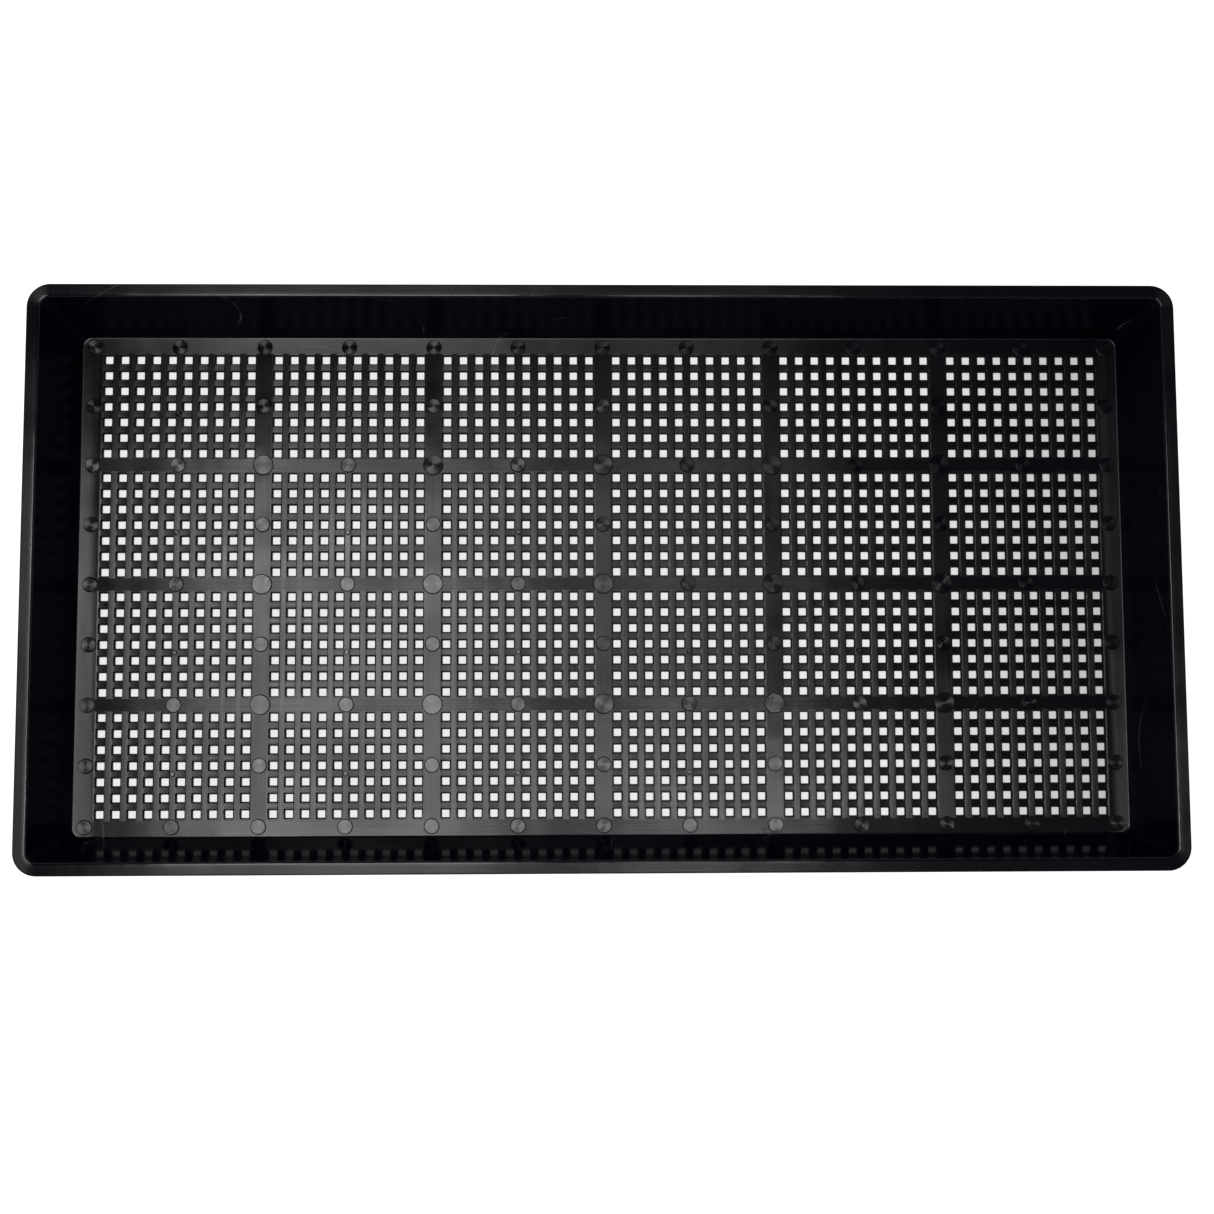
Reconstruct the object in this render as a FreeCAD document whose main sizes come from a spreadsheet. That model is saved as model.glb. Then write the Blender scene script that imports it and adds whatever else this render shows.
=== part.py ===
import FreeCAD, Part
import Sketcher
import math
import os

# A shallow black plastic propagation tray with a mesh bottom, in millimetres.
# The real tray is one moulding. Each zone of it is one node here, and the zones meet face to face.
# The frame: +X along the long side, +Y to the back, +Z up.
# The origin is under the middle of the tray, on the plane that the floor rests on.

SIZES = {
    "overall_length": 540.0,
    "overall_width": 275.0,
    "overall_height": 42.6,
    # rim: a flat flange with a skirt turned down at its outer edge
    "rim_width": 6.05,
    "rim_corner_radius": 11.0,
    "flange_thickness": 2.0,
    "skirt_depth": 7.0,
    "skirt_thickness": 1.8,
    # walls: they lean outwards from the floor to the rim
    "wall_thickness": 2.0,
    "wall_run": 9.85,
    "floor_corner_radius": 4.1,
    # floor: a grid of wide bars with thinner mesh panels between them, level on top
    "floor_thickness": 2.6,
    "mesh_thickness": 2.0,
    "panel_columns": 6,
    "panel_rows": 4,
    "panel_pitch_along": 82.73,
    "panel_pitch_across": 58.37,
    "panel_margin": 0.9,
    "holes_along": 10,
    "holes_across": 7,
    "hole_pitch": 7.72,
    "hole_top": 4.3,
    "hole_bottom": 3.5,
    # round marks that the ejector pins leave on the floor
    "pad_height": 0.5,
    "pad_large_radius": 4.8,
    "pad_medium_radius": 3.55,
    "pad_small_radius": 1.3,
    # webs under the rim, which keep stacked trays from jamming
    "web_thickness": 1.6,
    "web_depth": 4.0,
    "webs_along": 8,
    "webs_across": 4,
}

# Expressions on the sheet, for the sizes that follow from the driving ones.
HALF_LENGTH = "(sizes.overall_length / 2)"
HALF_WIDTH = "(sizes.overall_width / 2)"
FLANGE_UNDERSIDE = "(sizes.overall_height - sizes.flange_thickness)"
SKIRT_BOTTOM = "(sizes.overall_height - sizes.skirt_depth)"
WALL_SLOPE = "(sizes.wall_run / (sizes.overall_height - sizes.floor_thickness))"
WALL_TOP_RUN = f"({WALL_SLOPE} * ({FLANGE_UNDERSIDE} - sizes.floor_thickness))"
RIM_UNDERCUT = f"({WALL_SLOPE} * sizes.flange_thickness)"
INSET = "(sizes.rim_width + sizes.wall_run)"
FLOOR_HALF_LENGTH = f"({HALF_LENGTH} - {INSET})"
FLOOR_HALF_WIDTH = f"({HALF_WIDTH} - {INSET})"
LIP_CORNER_RADIUS = "(sizes.rim_corner_radius - sizes.rim_width)"
PLATE_CORNER_RADIUS = "(sizes.floor_corner_radius + sizes.wall_thickness)"
PANEL_LENGTH = "((sizes.holes_along - 1) * sizes.hole_pitch + sizes.hole_top + 2 * sizes.panel_margin)"
PANEL_WIDTH = "((sizes.holes_across - 1) * sizes.hole_pitch + sizes.hole_top + 2 * sizes.panel_margin)"
CROSS_RIB_WIDTH = f"(sizes.panel_pitch_along - {PANEL_LENGTH})"
LONG_RIB_WIDTH = f"(sizes.panel_pitch_across - {PANEL_WIDTH})"
MESH_HALF_LENGTH = f"((sizes.panel_columns - 1) / 2 * sizes.panel_pitch_along + {PANEL_LENGTH} / 2)"
MESH_HALF_WIDTH = f"((sizes.panel_rows - 1) / 2 * sizes.panel_pitch_across + {PANEL_WIDTH} / 2)"

# Turns about +Z that bring a piece made at the back, or at the back right corner, to its place.
SIDE_TURNS = {"back": 0, "left": 90, "front": 180, "right": 270}
CORNER_TURNS = {"back_right": 0, "back_left": 90, "front_left": 180, "front_right": 270}
CORNER_SIGNS = {"back_right": (1, 1), "back_left": (-1, 1), "front_left": (-1, -1), "front_right": (1, -1)}

doc = FreeCAD.newDocument("mesh_tray")
sheet = doc.addObject("Spreadsheet::Sheet", "sizes")
for row, (alias, number) in enumerate(SIZES.items(), start=1):
    sheet.set(f"A{row}", alias)
    sheet.set(f"B{row}", str(number))
    sheet.setAlias(f"B{row}", alias)
doc.recompute()

nodes = []


def number_of(expression):
    """The number that an expression on the sheet has now."""
    return float(sheet.evalExpression(expression))


def keep(thing, label):
    """Name a finished zone and put it on the list of nodes."""
    thing.Label = label
    nodes.append(thing)
    return thing


def new_body(label):
    """An empty body, listed as a node."""
    return keep(doc.addObject("PartDesign::Body", label), label)


def place(thing, along=None, across=None, up=None, turn=0):
    """Turn a zone about +Z and bind its place to the sheet."""
    turned = FreeCAD.Rotation(FreeCAD.Vector(0, 0, 1), turn)
    thing.Placement = FreeCAD.Placement(FreeCAD.Vector(0, 0, 0), turned)
    for axis, expression in (("x", along), ("y", across), ("z", up)):
        if expression is not None:
            thing.setExpression(f"Placement.Base.{axis}", expression)


def new_sketch(body, name, plane_role, offset=None):
    """A sketch on one of the body's own origin planes, raised by an expression."""
    sketch = body.newObject("Sketcher::SketchObject", f"{body.Name}_{name}")
    plane = [feature for feature in body.Origin.OriginFeatures if feature.Role == plane_role][0]
    sketch.AttachmentSupport = [(plane, "")]
    sketch.MapMode = "FlatFace"
    if offset is not None:
        sketch.setExpression("AttachmentOffset.Base.z", offset)
    return sketch


def bind_point(sketch, geometry, end, name, expressions):
    """Fix one point of a sketch at two distances from the sketch's origin."""
    for kind, expression in zip(("DistanceX", "DistanceY"), expressions):
        constraint = Sketcher.Constraint(kind, -1, 1, geometry, end, number_of(expression))
        index = sketch.addConstraint(constraint)
        sketch.renameConstraint(index, f"{name}{kind[-1]}")
        sketch.setExpression(f"Constraints.{name}{kind[-1]}", expression)


def polygon(body, name, plane_role, corners, offset=None):
    """A closed polygon whose corners are pairs of expressions."""
    sketch = new_sketch(body, name, plane_role, offset)
    points = [FreeCAD.Vector(number_of(first), number_of(second), 0) for first, second in corners]
    for index, start in enumerate(points):
        end = points[(index + 1) % len(points)]
        sketch.addGeometry(Part.LineSegment(start, end), False)
    for index in range(len(points)):
        following = (index + 1) % len(points)
        sketch.addConstraint(Sketcher.Constraint("Coincident", index, 2, following, 1))
    for index, corner in enumerate(corners):
        bind_point(sketch, index, 1, f"corner{index + 1}", corner)
    return sketch


def rectangle_corners(low_along, high_along, low_across, high_across):
    """The corners of an upright rectangle, in order."""
    return [
        (low_along, low_across),
        (high_along, low_across),
        (high_along, high_across),
        (low_along, high_across),
    ]


def quarter_ring(body, name, offset, centre, inner_radius, thickness):
    """A quarter of a ring whose centre stands the same distance along both axes."""
    sketch = new_sketch(body, name, "XY_Plane", offset)
    middle = FreeCAD.Vector(number_of(centre), number_of(centre), 0)
    inner = number_of(inner_radius)
    outer = inner + number_of(thickness)
    upright = FreeCAD.Vector(0, 0, 1)
    for radius in (inner, outer):
        circle = Part.Circle(middle, upright, radius)
        sketch.addGeometry(Part.ArcOfCircle(circle, 0, math.pi / 2), False)
    for direction in (FreeCAD.Vector(1, 0, 0), FreeCAD.Vector(0, 1, 0)):
        sketch.addGeometry(Part.LineSegment(middle + direction * inner, middle + direction * outer), False)
    for arc in (0, 1):
        sketch.addConstraint(Sketcher.Constraint("Coincident", 2, arc + 1, arc, 1))
        sketch.addConstraint(Sketcher.Constraint("Coincident", 3, arc + 1, arc, 2))
    sketch.addConstraint(Sketcher.Constraint("Coincident", 0, 3, 1, 3))
    sketch.addConstraint(Sketcher.Constraint("Horizontal", 0, 3, 0, 1))
    sketch.addConstraint(Sketcher.Constraint("Vertical", 0, 3, 0, 2))
    sketch.addConstraint(Sketcher.Constraint("Horizontal", 2))
    sketch.addConstraint(Sketcher.Constraint("Vertical", 3))
    bind_point(sketch, 0, 3, "centre", (centre, centre))
    for arc, expression in enumerate((inner_radius, f"{inner_radius} + {thickness}")):
        index = sketch.addConstraint(Sketcher.Constraint("Radius", arc, number_of(expression)))
        sketch.renameConstraint(index, f"radius{arc + 1}")
        sketch.setExpression(f"Constraints.radius{arc + 1}", expression)
    return sketch


def pad(body, sketch, length, symmetric=False):
    """Thicken a sketch into a solid."""
    feature = body.newObject("PartDesign::Pad", f"{body.Name}_pad")
    feature.Profile = sketch
    feature.SideType = "Symmetric" if symmetric else "One side"
    feature.setExpression("Length", length)
    return feature


def loft(body, lower, upper):
    """Join two sketches with straight faces."""
    feature = body.newObject("PartDesign::AdditiveLoft", f"{body.Name}_loft")
    feature.Profile = lower
    feature.Sections = [upper]
    feature.Ruled = True
    return feature


def rim_section(lip, edge):
    """The rim's section, from the lip over the tray's mouth to the outer edge of the skirt."""
    skirt_inside = f"({edge} - sizes.skirt_thickness)"
    return [
        (f"({lip} - {RIM_UNDERCUT})", FLANGE_UNDERSIDE),
        (skirt_inside, FLANGE_UNDERSIDE),
        (skirt_inside, SKIRT_BOTTOM),
        (edge, SKIRT_BOTTOM),
        (edge, "sizes.overall_height"),
        (lip, "sizes.overall_height"),
    ]


def make_rim_side(side, half_span, half_run):
    """A straight run of the rim, between two corners."""
    body = new_body(f"rim_{side}")
    section = rim_section(f"({half_span} - sizes.rim_width)", half_span)
    sketch = polygon(body, "section", "YZ_Plane", section)
    pad(body, sketch, f"2 * ({half_run} - sizes.rim_corner_radius)", symmetric=True)
    place(body, turn=SIDE_TURNS[side])


def make_rim_corner(corner):
    """A quarter turn of the rim."""
    body = new_body(f"rim_corner_{corner}")
    section = rim_section(LIP_CORNER_RADIUS, "sizes.rim_corner_radius")
    sketch = polygon(body, "section", "XZ_Plane", section)
    turn = body.newObject("PartDesign::Revolution", f"{body.Name}_turn")
    turn.Profile = sketch
    turn.ReferenceAxis = (sketch, ["V_Axis"])
    turn.Angle = 90
    sign_along, sign_across = CORNER_SIGNS[corner]
    along = f"{sign_along} * ({HALF_LENGTH} - sizes.rim_corner_radius)"
    across = f"{sign_across} * ({HALF_WIDTH} - sizes.rim_corner_radius)"
    place(body, along, across, turn=CORNER_TURNS[corner])


def make_wall_side(side, floor_half_span, floor_half_run):
    """A straight wall, which leans outwards and grows longer towards the rim."""
    body = new_body(f"wall_{side}")
    levels = []
    top_growth = f"({WALL_TOP_RUN} + sizes.floor_corner_radius - {wall_top_radius()})"
    for name, height, run, growth in (
        ("foot", "sizes.floor_thickness", "0", "0"),
        ("head", FLANGE_UNDERSIDE, WALL_TOP_RUN, top_growth),
    ):
        end = f"({floor_half_run} - sizes.floor_corner_radius + {growth})"
        inside = f"({floor_half_span} + {run})"
        corners = rectangle_corners(f"-{end}", end, inside, f"({inside} + sizes.wall_thickness)")
        levels.append(polygon(body, name, "XY_Plane", corners, height))
    loft(body, *levels)
    place(body, turn=SIDE_TURNS[side])


def wall_top_radius():
    """The inner corner radius of the walls, where they meet the flange."""
    share = f"({WALL_TOP_RUN} / sizes.wall_run)"
    return f"(sizes.floor_corner_radius + {share} * ({LIP_CORNER_RADIUS} - sizes.floor_corner_radius))"


def make_wall_corner(corner):
    """A quarter turn of the wall, from the floor's corner radius to the lip's."""
    body = new_body(f"wall_corner_{corner}")
    radius = wall_top_radius()
    shift = f"({WALL_TOP_RUN} + sizes.floor_corner_radius - {radius})"
    foot = quarter_ring(body, "foot", "sizes.floor_thickness", "0", "sizes.floor_corner_radius",
                        "sizes.wall_thickness")
    head = quarter_ring(body, "head", FLANGE_UNDERSIDE, shift, radius, "sizes.wall_thickness")
    loft(body, foot, head)
    sign_along, sign_across = CORNER_SIGNS[corner]
    along = f"{sign_along} * ({FLOOR_HALF_LENGTH} - sizes.floor_corner_radius)"
    across = f"{sign_across} * ({FLOOR_HALF_WIDTH} - sizes.floor_corner_radius)"
    place(body, along, across, turn=CORNER_TURNS[corner])


def make_long_border(side):
    """The floor's strip along a long wall, with its two rounded corners."""
    body = new_body(f"border_{side}")
    half_run = f"({FLOOR_HALF_LENGTH} + sizes.wall_thickness)"
    outside = f"({FLOOR_HALF_WIDTH} + sizes.wall_thickness)"
    corners = rectangle_corners(f"-{half_run}", half_run, MESH_HALF_WIDTH, outside)
    plate = pad(body, polygon(body, "outline", "XY_Plane", corners), "sizes.floor_thickness")
    doc.recompute()
    outer_line = number_of(outside)
    rounded = []
    for index, edge in enumerate(plate.Shape.Edges, start=1):
        upright = abs(edge.tangentAt(edge.FirstParameter).z) > 0.99
        if upright and abs(edge.CenterOfMass.y - outer_line) < 0.01:
            rounded.append(f"Edge{index}")
    fillet = body.newObject("PartDesign::Fillet", f"{body.Name}_corners")
    fillet.Base = (plate, rounded)
    fillet.setExpression("Radius", PLATE_CORNER_RADIUS)
    place(body, turn=SIDE_TURNS[side])


def new_box(name, length, width, height, along, across, up):
    """A box given by its sizes, its middle along and across, and its underside."""
    box = doc.addObject("Part::Box", name)
    box.setExpression("Length", length)
    box.setExpression("Width", width)
    box.setExpression("Height", height)
    place(box, f"{along} - {length} / 2", f"{across} - {width} / 2", up)
    return box


def make_short_border(side, sign):
    """The floor's strip along a short wall, between the two long strips."""
    outside = f"({FLOOR_HALF_LENGTH} + sizes.wall_thickness)"
    width = f"({outside} - {MESH_HALF_LENGTH})"
    middle = f"{sign} * ({outside} + {MESH_HALF_LENGTH}) / 2"
    box = new_box(f"border_{side}", width, f"2 * {MESH_HALF_WIDTH}", "sizes.floor_thickness", middle, "0", "0")
    keep(box, f"border_{side}")


def panel_middle(index, count, pitch):
    """The place of one panel's middle on the grid of panels."""
    return f"({index} - (sizes.{count} - 1) / 2) * sizes.{pitch}"


def make_cross_rib(number):
    """A wide bar from the front border to the back border."""
    middle = panel_middle(f"{number} - 0.5", "panel_columns", "panel_pitch_along")
    box = new_box(f"cross_rib_{number}", CROSS_RIB_WIDTH, f"2 * {MESH_HALF_WIDTH}",
                  "sizes.floor_thickness", middle, "0", "0")
    keep(box, f"cross_rib_{number}")


def make_long_rib(number):
    """A wide bar from left to right, in spans between the cross ribs."""
    middle = panel_middle(f"{number} - 0.5", "panel_rows", "panel_pitch_across")
    spans = []
    for column in range(SIZES["panel_columns"]):
        along = panel_middle(column, "panel_columns", "panel_pitch_along")
        name = f"long_rib_{number}_span_{column + 1}"
        spans.append(new_box(name, PANEL_LENGTH, LONG_RIB_WIDTH, "sizes.floor_thickness", along, middle, "0"))
    rib = doc.addObject("Part::Compound", f"long_rib_{number}")
    rib.Links = spans
    keep(rib, f"long_rib_{number}")


def make_mesh_panel(row, column):
    """A thin panel with a grid of square holes that narrow downwards."""
    body = new_body(f"mesh_panel_row{row + 1}_col{column + 1}")
    half_length = f"({PANEL_LENGTH} / 2)"
    half_width = f"({PANEL_WIDTH} / 2)"
    corners = rectangle_corners(f"-{half_length}", half_length, f"-{half_width}", half_width)
    pad(body, polygon(body, "outline", "XY_Plane", corners), "sizes.mesh_thickness")
    first_along = "-(sizes.holes_along - 1) / 2 * sizes.hole_pitch"
    first_across = "-(sizes.holes_across - 1) / 2 * sizes.hole_pitch"
    opening = rectangle_corners(
        f"({first_along} - sizes.hole_top / 2)", f"({first_along} + sizes.hole_top / 2)",
        f"({first_across} - sizes.hole_top / 2)", f"({first_across} + sizes.hole_top / 2)",
    )
    sketch = polygon(body, "hole", "XY_Plane", opening, "sizes.mesh_thickness")
    hole = body.newObject("PartDesign::Pocket", f"{body.Name}_pocket")
    hole.Profile = sketch
    hole.setExpression("Length", "sizes.mesh_thickness")
    taper = "atan((sizes.hole_top - sizes.hole_bottom) / 2 / sizes.mesh_thickness)"
    hole.setExpression("TaperAngle", f"-{taper}")
    grid = body.newObject("PartDesign::LinearPattern", f"{body.Name}_grid")
    grid.Originals = [hole]
    grid.Direction = (sketch, ["H_Axis"])
    grid.setExpression("Length", "(sizes.holes_along - 1) * sizes.hole_pitch")
    grid.setExpression("Occurrences", "sizes.holes_along")
    grid.Direction2 = (sketch, ["V_Axis"])
    grid.setExpression("Length2", "(sizes.holes_across - 1) * sizes.hole_pitch")
    grid.setExpression("Occurrences2", "sizes.holes_across")
    body.Tip = grid
    along = panel_middle(column, "panel_columns", "panel_pitch_along")
    across = panel_middle(row, "panel_rows", "panel_pitch_across")
    place(body, along, across, "sizes.floor_thickness - sizes.mesh_thickness")


def make_pads(label, radius, spots):
    """Round ejector marks of one size, standing a little proud of the floor."""
    discs = []
    for number, (along, across) in enumerate(spots, start=1):
        disc = doc.addObject("Part::Cylinder", f"{label}_{number}")
        disc.setExpression("Radius", f"sizes.{radius}")
        disc.setExpression("Height", "sizes.pad_height")
        place(disc, along, across, "sizes.floor_thickness")
        discs.append(disc)
    group = doc.addObject("Part::Compound", label)
    group.Links = discs
    keep(group, label)


def make_all_pads():
    """Marks at every half panel along the wide bars, and one near the middle of each panel."""
    half_steps_along = SIZES["panel_columns"]
    half_steps_across = SIZES["panel_rows"]
    large = []
    medium = []
    for step_along in range(-half_steps_along, half_steps_along + 1):
        for step_across in range(-half_steps_across, half_steps_across + 1):
            on_cross_bar = (step_along - half_steps_along) % 2 == 0
            on_long_bar = (step_across - half_steps_across) % 2 == 0
            inside = abs(step_along) < half_steps_along and abs(step_across) < half_steps_across
            spot = (f"{step_along} * sizes.panel_pitch_along / 2",
                    f"{step_across} * sizes.panel_pitch_across / 2")
            if on_cross_bar and on_long_bar and inside:
                large.append(spot)
            elif on_cross_bar or on_long_bar:
                medium.append(spot)
    small = []
    for row in range(half_steps_across):
        for column in range(half_steps_along):
            along = panel_middle(column, "panel_columns", "panel_pitch_along")
            across = panel_middle(row, "panel_rows", "panel_pitch_across")
            small.append((along, f"{across} - sizes.hole_pitch / 2"))
    make_pads("ejector_pads_large", "pad_large_radius", large)
    make_pads("ejector_pads_medium", "pad_medium_radius", medium)
    make_pads("ejector_pads_small", "pad_small_radius", small)


def make_webs():
    """Short webs in the channel under the rim, from the wall to the skirt."""
    webs = []
    foot = f"({FLANGE_UNDERSIDE} - sizes.web_depth)"
    for side, turn in SIDE_TURNS.items():
        is_long = side in ("front", "back")
        half_span = HALF_WIDTH if is_long else HALF_LENGTH
        full_run = "sizes.overall_length" if is_long else "sizes.overall_width"
        count = "webs_along" if is_long else "webs_across"
        wall_head = f"({half_span} - {INSET} + {WALL_TOP_RUN} + sizes.wall_thickness)"
        wall_foot = f"({wall_head} - {WALL_SLOPE} * sizes.web_depth)"
        skirt_inside = f"({half_span} - sizes.skirt_thickness)"
        for number in range(SIZES[count]):
            middle = f"({number} - (sizes.{count} - 1) / 2) * {full_run} / sizes.{count}"
            web = doc.addObject("Part::Wedge", f"web_{side}_{number + 1}")
            for edge, sign in (("min", "-"), ("max", "+")):
                face = f"{middle} {sign} sizes.web_thickness / 2"
                web.setExpression(f"X{edge}", face)
                web.setExpression(f"X2{edge}", face)
            web.setExpression("Ymin", foot)
            web.setExpression("Ymax", FLANGE_UNDERSIDE)
            web.setExpression("Zmin", wall_foot)
            web.setExpression("Z2min", wall_head)
            web.setExpression("Zmax", skirt_inside)
            web.setExpression("Z2max", skirt_inside)
            # The wedge's own Y stands up, and its own Z then points to the front.
            stand_up = FreeCAD.Rotation(FreeCAD.Vector(1, 0, 0), 90)
            to_side = FreeCAD.Rotation(FreeCAD.Vector(0, 0, 1), turn + 180)
            web.Placement = FreeCAD.Placement(FreeCAD.Vector(0, 0, 0), to_side.multiply(stand_up))
            webs.append(web)
    group = doc.addObject("Part::Compound", "stacking_webs")
    group.Links = webs
    keep(group, "stacking_webs")


make_rim_side("front", HALF_WIDTH, HALF_LENGTH)
make_rim_side("back", HALF_WIDTH, HALF_LENGTH)
make_rim_side("left", HALF_LENGTH, HALF_WIDTH)
make_rim_side("right", HALF_LENGTH, HALF_WIDTH)
make_wall_side("front", FLOOR_HALF_WIDTH, FLOOR_HALF_LENGTH)
make_wall_side("back", FLOOR_HALF_WIDTH, FLOOR_HALF_LENGTH)
make_wall_side("left", FLOOR_HALF_LENGTH, FLOOR_HALF_WIDTH)
make_wall_side("right", FLOOR_HALF_LENGTH, FLOOR_HALF_WIDTH)
for corner_name in CORNER_TURNS:
    make_rim_corner(corner_name)
    make_wall_corner(corner_name)
make_long_border("front")
make_long_border("back")
make_short_border("left", -1)
make_short_border("right", 1)
for rib_number in range(1, SIZES["panel_columns"]):
    make_cross_rib(rib_number)
for rib_number in range(1, SIZES["panel_rows"]):
    make_long_rib(rib_number)
for panel_row in range(SIZES["panel_rows"]):
    for panel_column in range(SIZES["panel_columns"]):
        make_mesh_panel(panel_row, panel_column)
make_all_pads()
make_webs()

doc.recompute()
for thing in doc.Objects:
    if "Invalid" in thing.State or "Error" in thing.State:
        raise RuntimeError(f"{thing.Name} failed: {thing.State}")
for node in nodes:
    if node.Shape.isNull() or not node.Shape.isValid():
        raise RuntimeError(f"{node.Label} has no valid shape")

os.makedirs("parts", exist_ok=True)
for node in nodes:
    node.Shape.exportStep(f"parts/{node.Label}.step")
    box = node.Shape.BoundBox
    print(f"{node.Label}: {len(node.Shape.Solids)} solids, {node.Shape.Volume:.1f} mm3, "
          f"x {box.XMin:.2f} to {box.XMax:.2f}, y {box.YMin:.2f} to {box.YMax:.2f}, "
          f"z {box.ZMin:.2f} to {box.ZMax:.2f}")
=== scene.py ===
import bmesh
import bpy
import math
import random
from mathutils import Matrix, Vector


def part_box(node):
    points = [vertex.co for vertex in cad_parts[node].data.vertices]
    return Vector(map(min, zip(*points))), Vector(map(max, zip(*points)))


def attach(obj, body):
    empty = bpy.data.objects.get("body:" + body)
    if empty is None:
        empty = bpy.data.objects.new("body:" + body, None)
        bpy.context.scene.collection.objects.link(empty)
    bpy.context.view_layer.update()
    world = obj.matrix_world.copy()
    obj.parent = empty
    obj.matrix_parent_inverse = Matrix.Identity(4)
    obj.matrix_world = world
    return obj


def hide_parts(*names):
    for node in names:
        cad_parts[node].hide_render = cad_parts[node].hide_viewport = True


# A black moulded propagation tray with a mesh floor, standing on a white table.
# Units are metres. +X runs along the tray, +Y to its back, +Z up, and the table is at height 0.

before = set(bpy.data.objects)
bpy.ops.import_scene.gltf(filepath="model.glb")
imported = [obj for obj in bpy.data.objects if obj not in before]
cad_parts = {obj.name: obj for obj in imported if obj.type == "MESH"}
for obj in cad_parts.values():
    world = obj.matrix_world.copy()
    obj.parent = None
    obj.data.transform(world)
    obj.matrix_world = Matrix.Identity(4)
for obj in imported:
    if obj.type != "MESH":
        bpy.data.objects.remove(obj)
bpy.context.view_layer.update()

MM = 0.001
SIDES = ("front", "back", "left", "right")
CORNERS = ("back_right", "back_left", "front_left", "front_right")

# ---------------------------------------------------------------- sizes read from the frame

CORNER_LOW, CORNER_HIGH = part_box("rim_corner_back_right")
WALL_LOW, WALL_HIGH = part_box("wall_back")
BORDER_LOW, BORDER_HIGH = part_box("border_back")
SIDE_BORDER_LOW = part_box("border_right")[0]
FIRST_PANEL_LOW, FIRST_PANEL_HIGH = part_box("mesh_panel_row1_col1")
NEXT_PANEL_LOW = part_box("mesh_panel_row2_col2")[0]

HALF_LENGTH = CORNER_HIGH[0]
HALF_WIDTH = CORNER_HIGH[1]
RIM_TOP = CORNER_HIGH[2]
SKIRT_BOTTOM = CORNER_LOW[2]
RIM_CORNER_RADIUS = CORNER_HIGH[0] - CORNER_LOW[0]
FLANGE_UNDERSIDE = WALL_HIGH[2]
FLOOR_TOP = WALL_LOW[2]
WALL_FOOT_INSIDE = WALL_LOW[1]
WALL_HEAD_OUTSIDE = WALL_HIGH[1]
WALL_FOOT_OUTSIDE = BORDER_HIGH[1]
WALL_THICKNESS = WALL_FOOT_OUTSIDE - WALL_FOOT_INSIDE
WALL_HEAD_INSIDE = WALL_HEAD_OUTSIDE - WALL_THICKNESS
WALL_SLOPE = (WALL_HEAD_INSIDE - WALL_FOOT_INSIDE) / (FLANGE_UNDERSIDE - FLOOR_TOP)
SIDE_SURPLUS = HALF_LENGTH - HALF_WIDTH
SKIRT_THICKNESS = 1.8 * MM
MESH_HALF_LENGTH = SIDE_BORDER_LOW[0]
MESH_HALF_WIDTH = BORDER_LOW[1]
MESH_BOTTOM = FIRST_PANEL_LOW[2]

PANEL_ROWS = 4
PANEL_COLUMNS = 6
PANEL_LENGTH = FIRST_PANEL_HIGH[0] - FIRST_PANEL_LOW[0]
PANEL_WIDTH = FIRST_PANEL_HIGH[1] - FIRST_PANEL_LOW[1]
PANEL_PITCH_ALONG = NEXT_PANEL_LOW[0] - FIRST_PANEL_LOW[0]
PANEL_PITCH_ACROSS = NEXT_PANEL_LOW[1] - FIRST_PANEL_LOW[1]
HOLES_ALONG = 10
HOLES_ACROSS = 7
HOLE_TOP = 4.3 * MM
HOLE_BOTTOM = 3.5 * MM
HOLE_PITCH = (PANEL_LENGTH - PANEL_WIDTH) / (HOLES_ALONG - HOLES_ACROSS)

# The rim's flat, from its outline to where the lip starts, and the lip that turns down from it.
RIM_FLAT_WIDTH = 5.1 * MM
LIP_WIDTH = 1.184 * MM
LIP_DROP = 0.95 * MM

# ---------------------------------------------------------------- modelling tools

# Places closer than this count as one place, and welds and cuts have finer limits of their own.
SAME_PLACE = 0.004 * MM
WELD_DISTANCE = 0.01 * MM
CUT_THRESHOLD = 0.001 * MM


def deselect_all():
    """Leave edit mode and select nothing."""
    if bpy.context.object and bpy.context.object.mode != "OBJECT":
        bpy.ops.object.mode_set(mode="OBJECT")
    bpy.ops.object.select_all(action="DESELECT")


def select_only(*pieces):
    """Select these pieces, and make the first one active."""
    deselect_all()
    for piece in pieces:
        piece.select_set(True)
    bpy.context.view_layer.objects.active = pieces[0]


def named(name):
    """Name the piece that an operator has just made."""
    piece = bpy.context.object
    piece.name = name
    piece.data.name = name
    return piece


def edit(piece, kind="VERT"):
    """Go into edit mode on a piece, with everything selected."""
    select_only(piece)
    bpy.ops.object.mode_set(mode="EDIT")
    bpy.ops.mesh.select_mode(type=kind)
    bpy.ops.mesh.select_all(action="SELECT")


def leave_edit():
    bpy.ops.object.mode_set(mode="OBJECT")


def pick_points(piece, wanted):
    """In edit mode, select just the points whose place passes a test."""
    bpy.ops.mesh.select_mode(type="VERT")
    bpy.ops.mesh.select_all(action="DESELECT")
    mesh = bmesh.from_edit_mesh(piece.data)
    for point in mesh.verts:
        if wanted(point.co):
            point.select_set(True)
    mesh.select_flush_mode()
    bmesh.update_edit_mesh(piece.data)


def pick_faces(piece, wanted):
    """In edit mode, select just the faces whose middle passes a test."""
    bpy.ops.mesh.select_mode(type="FACE")
    bpy.ops.mesh.select_all(action="DESELECT")
    mesh = bmesh.from_edit_mesh(piece.data)
    for face in mesh.faces:
        if wanted(face.calc_center_median()):
            face.select_set(True)
    mesh.select_flush_mode()
    bmesh.update_edit_mesh(piece.data)


def pick_edges(piece, wanted):
    """In edit mode, select just the edges whose two ends pass a test."""
    bpy.ops.mesh.select_mode(type="EDGE")
    bpy.ops.mesh.select_all(action="DESELECT")
    mesh = bmesh.from_edit_mesh(piece.data)
    for edge in mesh.edges:
        if wanted(edge.verts[0].co, edge.verts[1].co):
            edge.select_set(True)
    mesh.select_flush_mode()
    bmesh.update_edit_mesh(piece.data)


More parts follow.
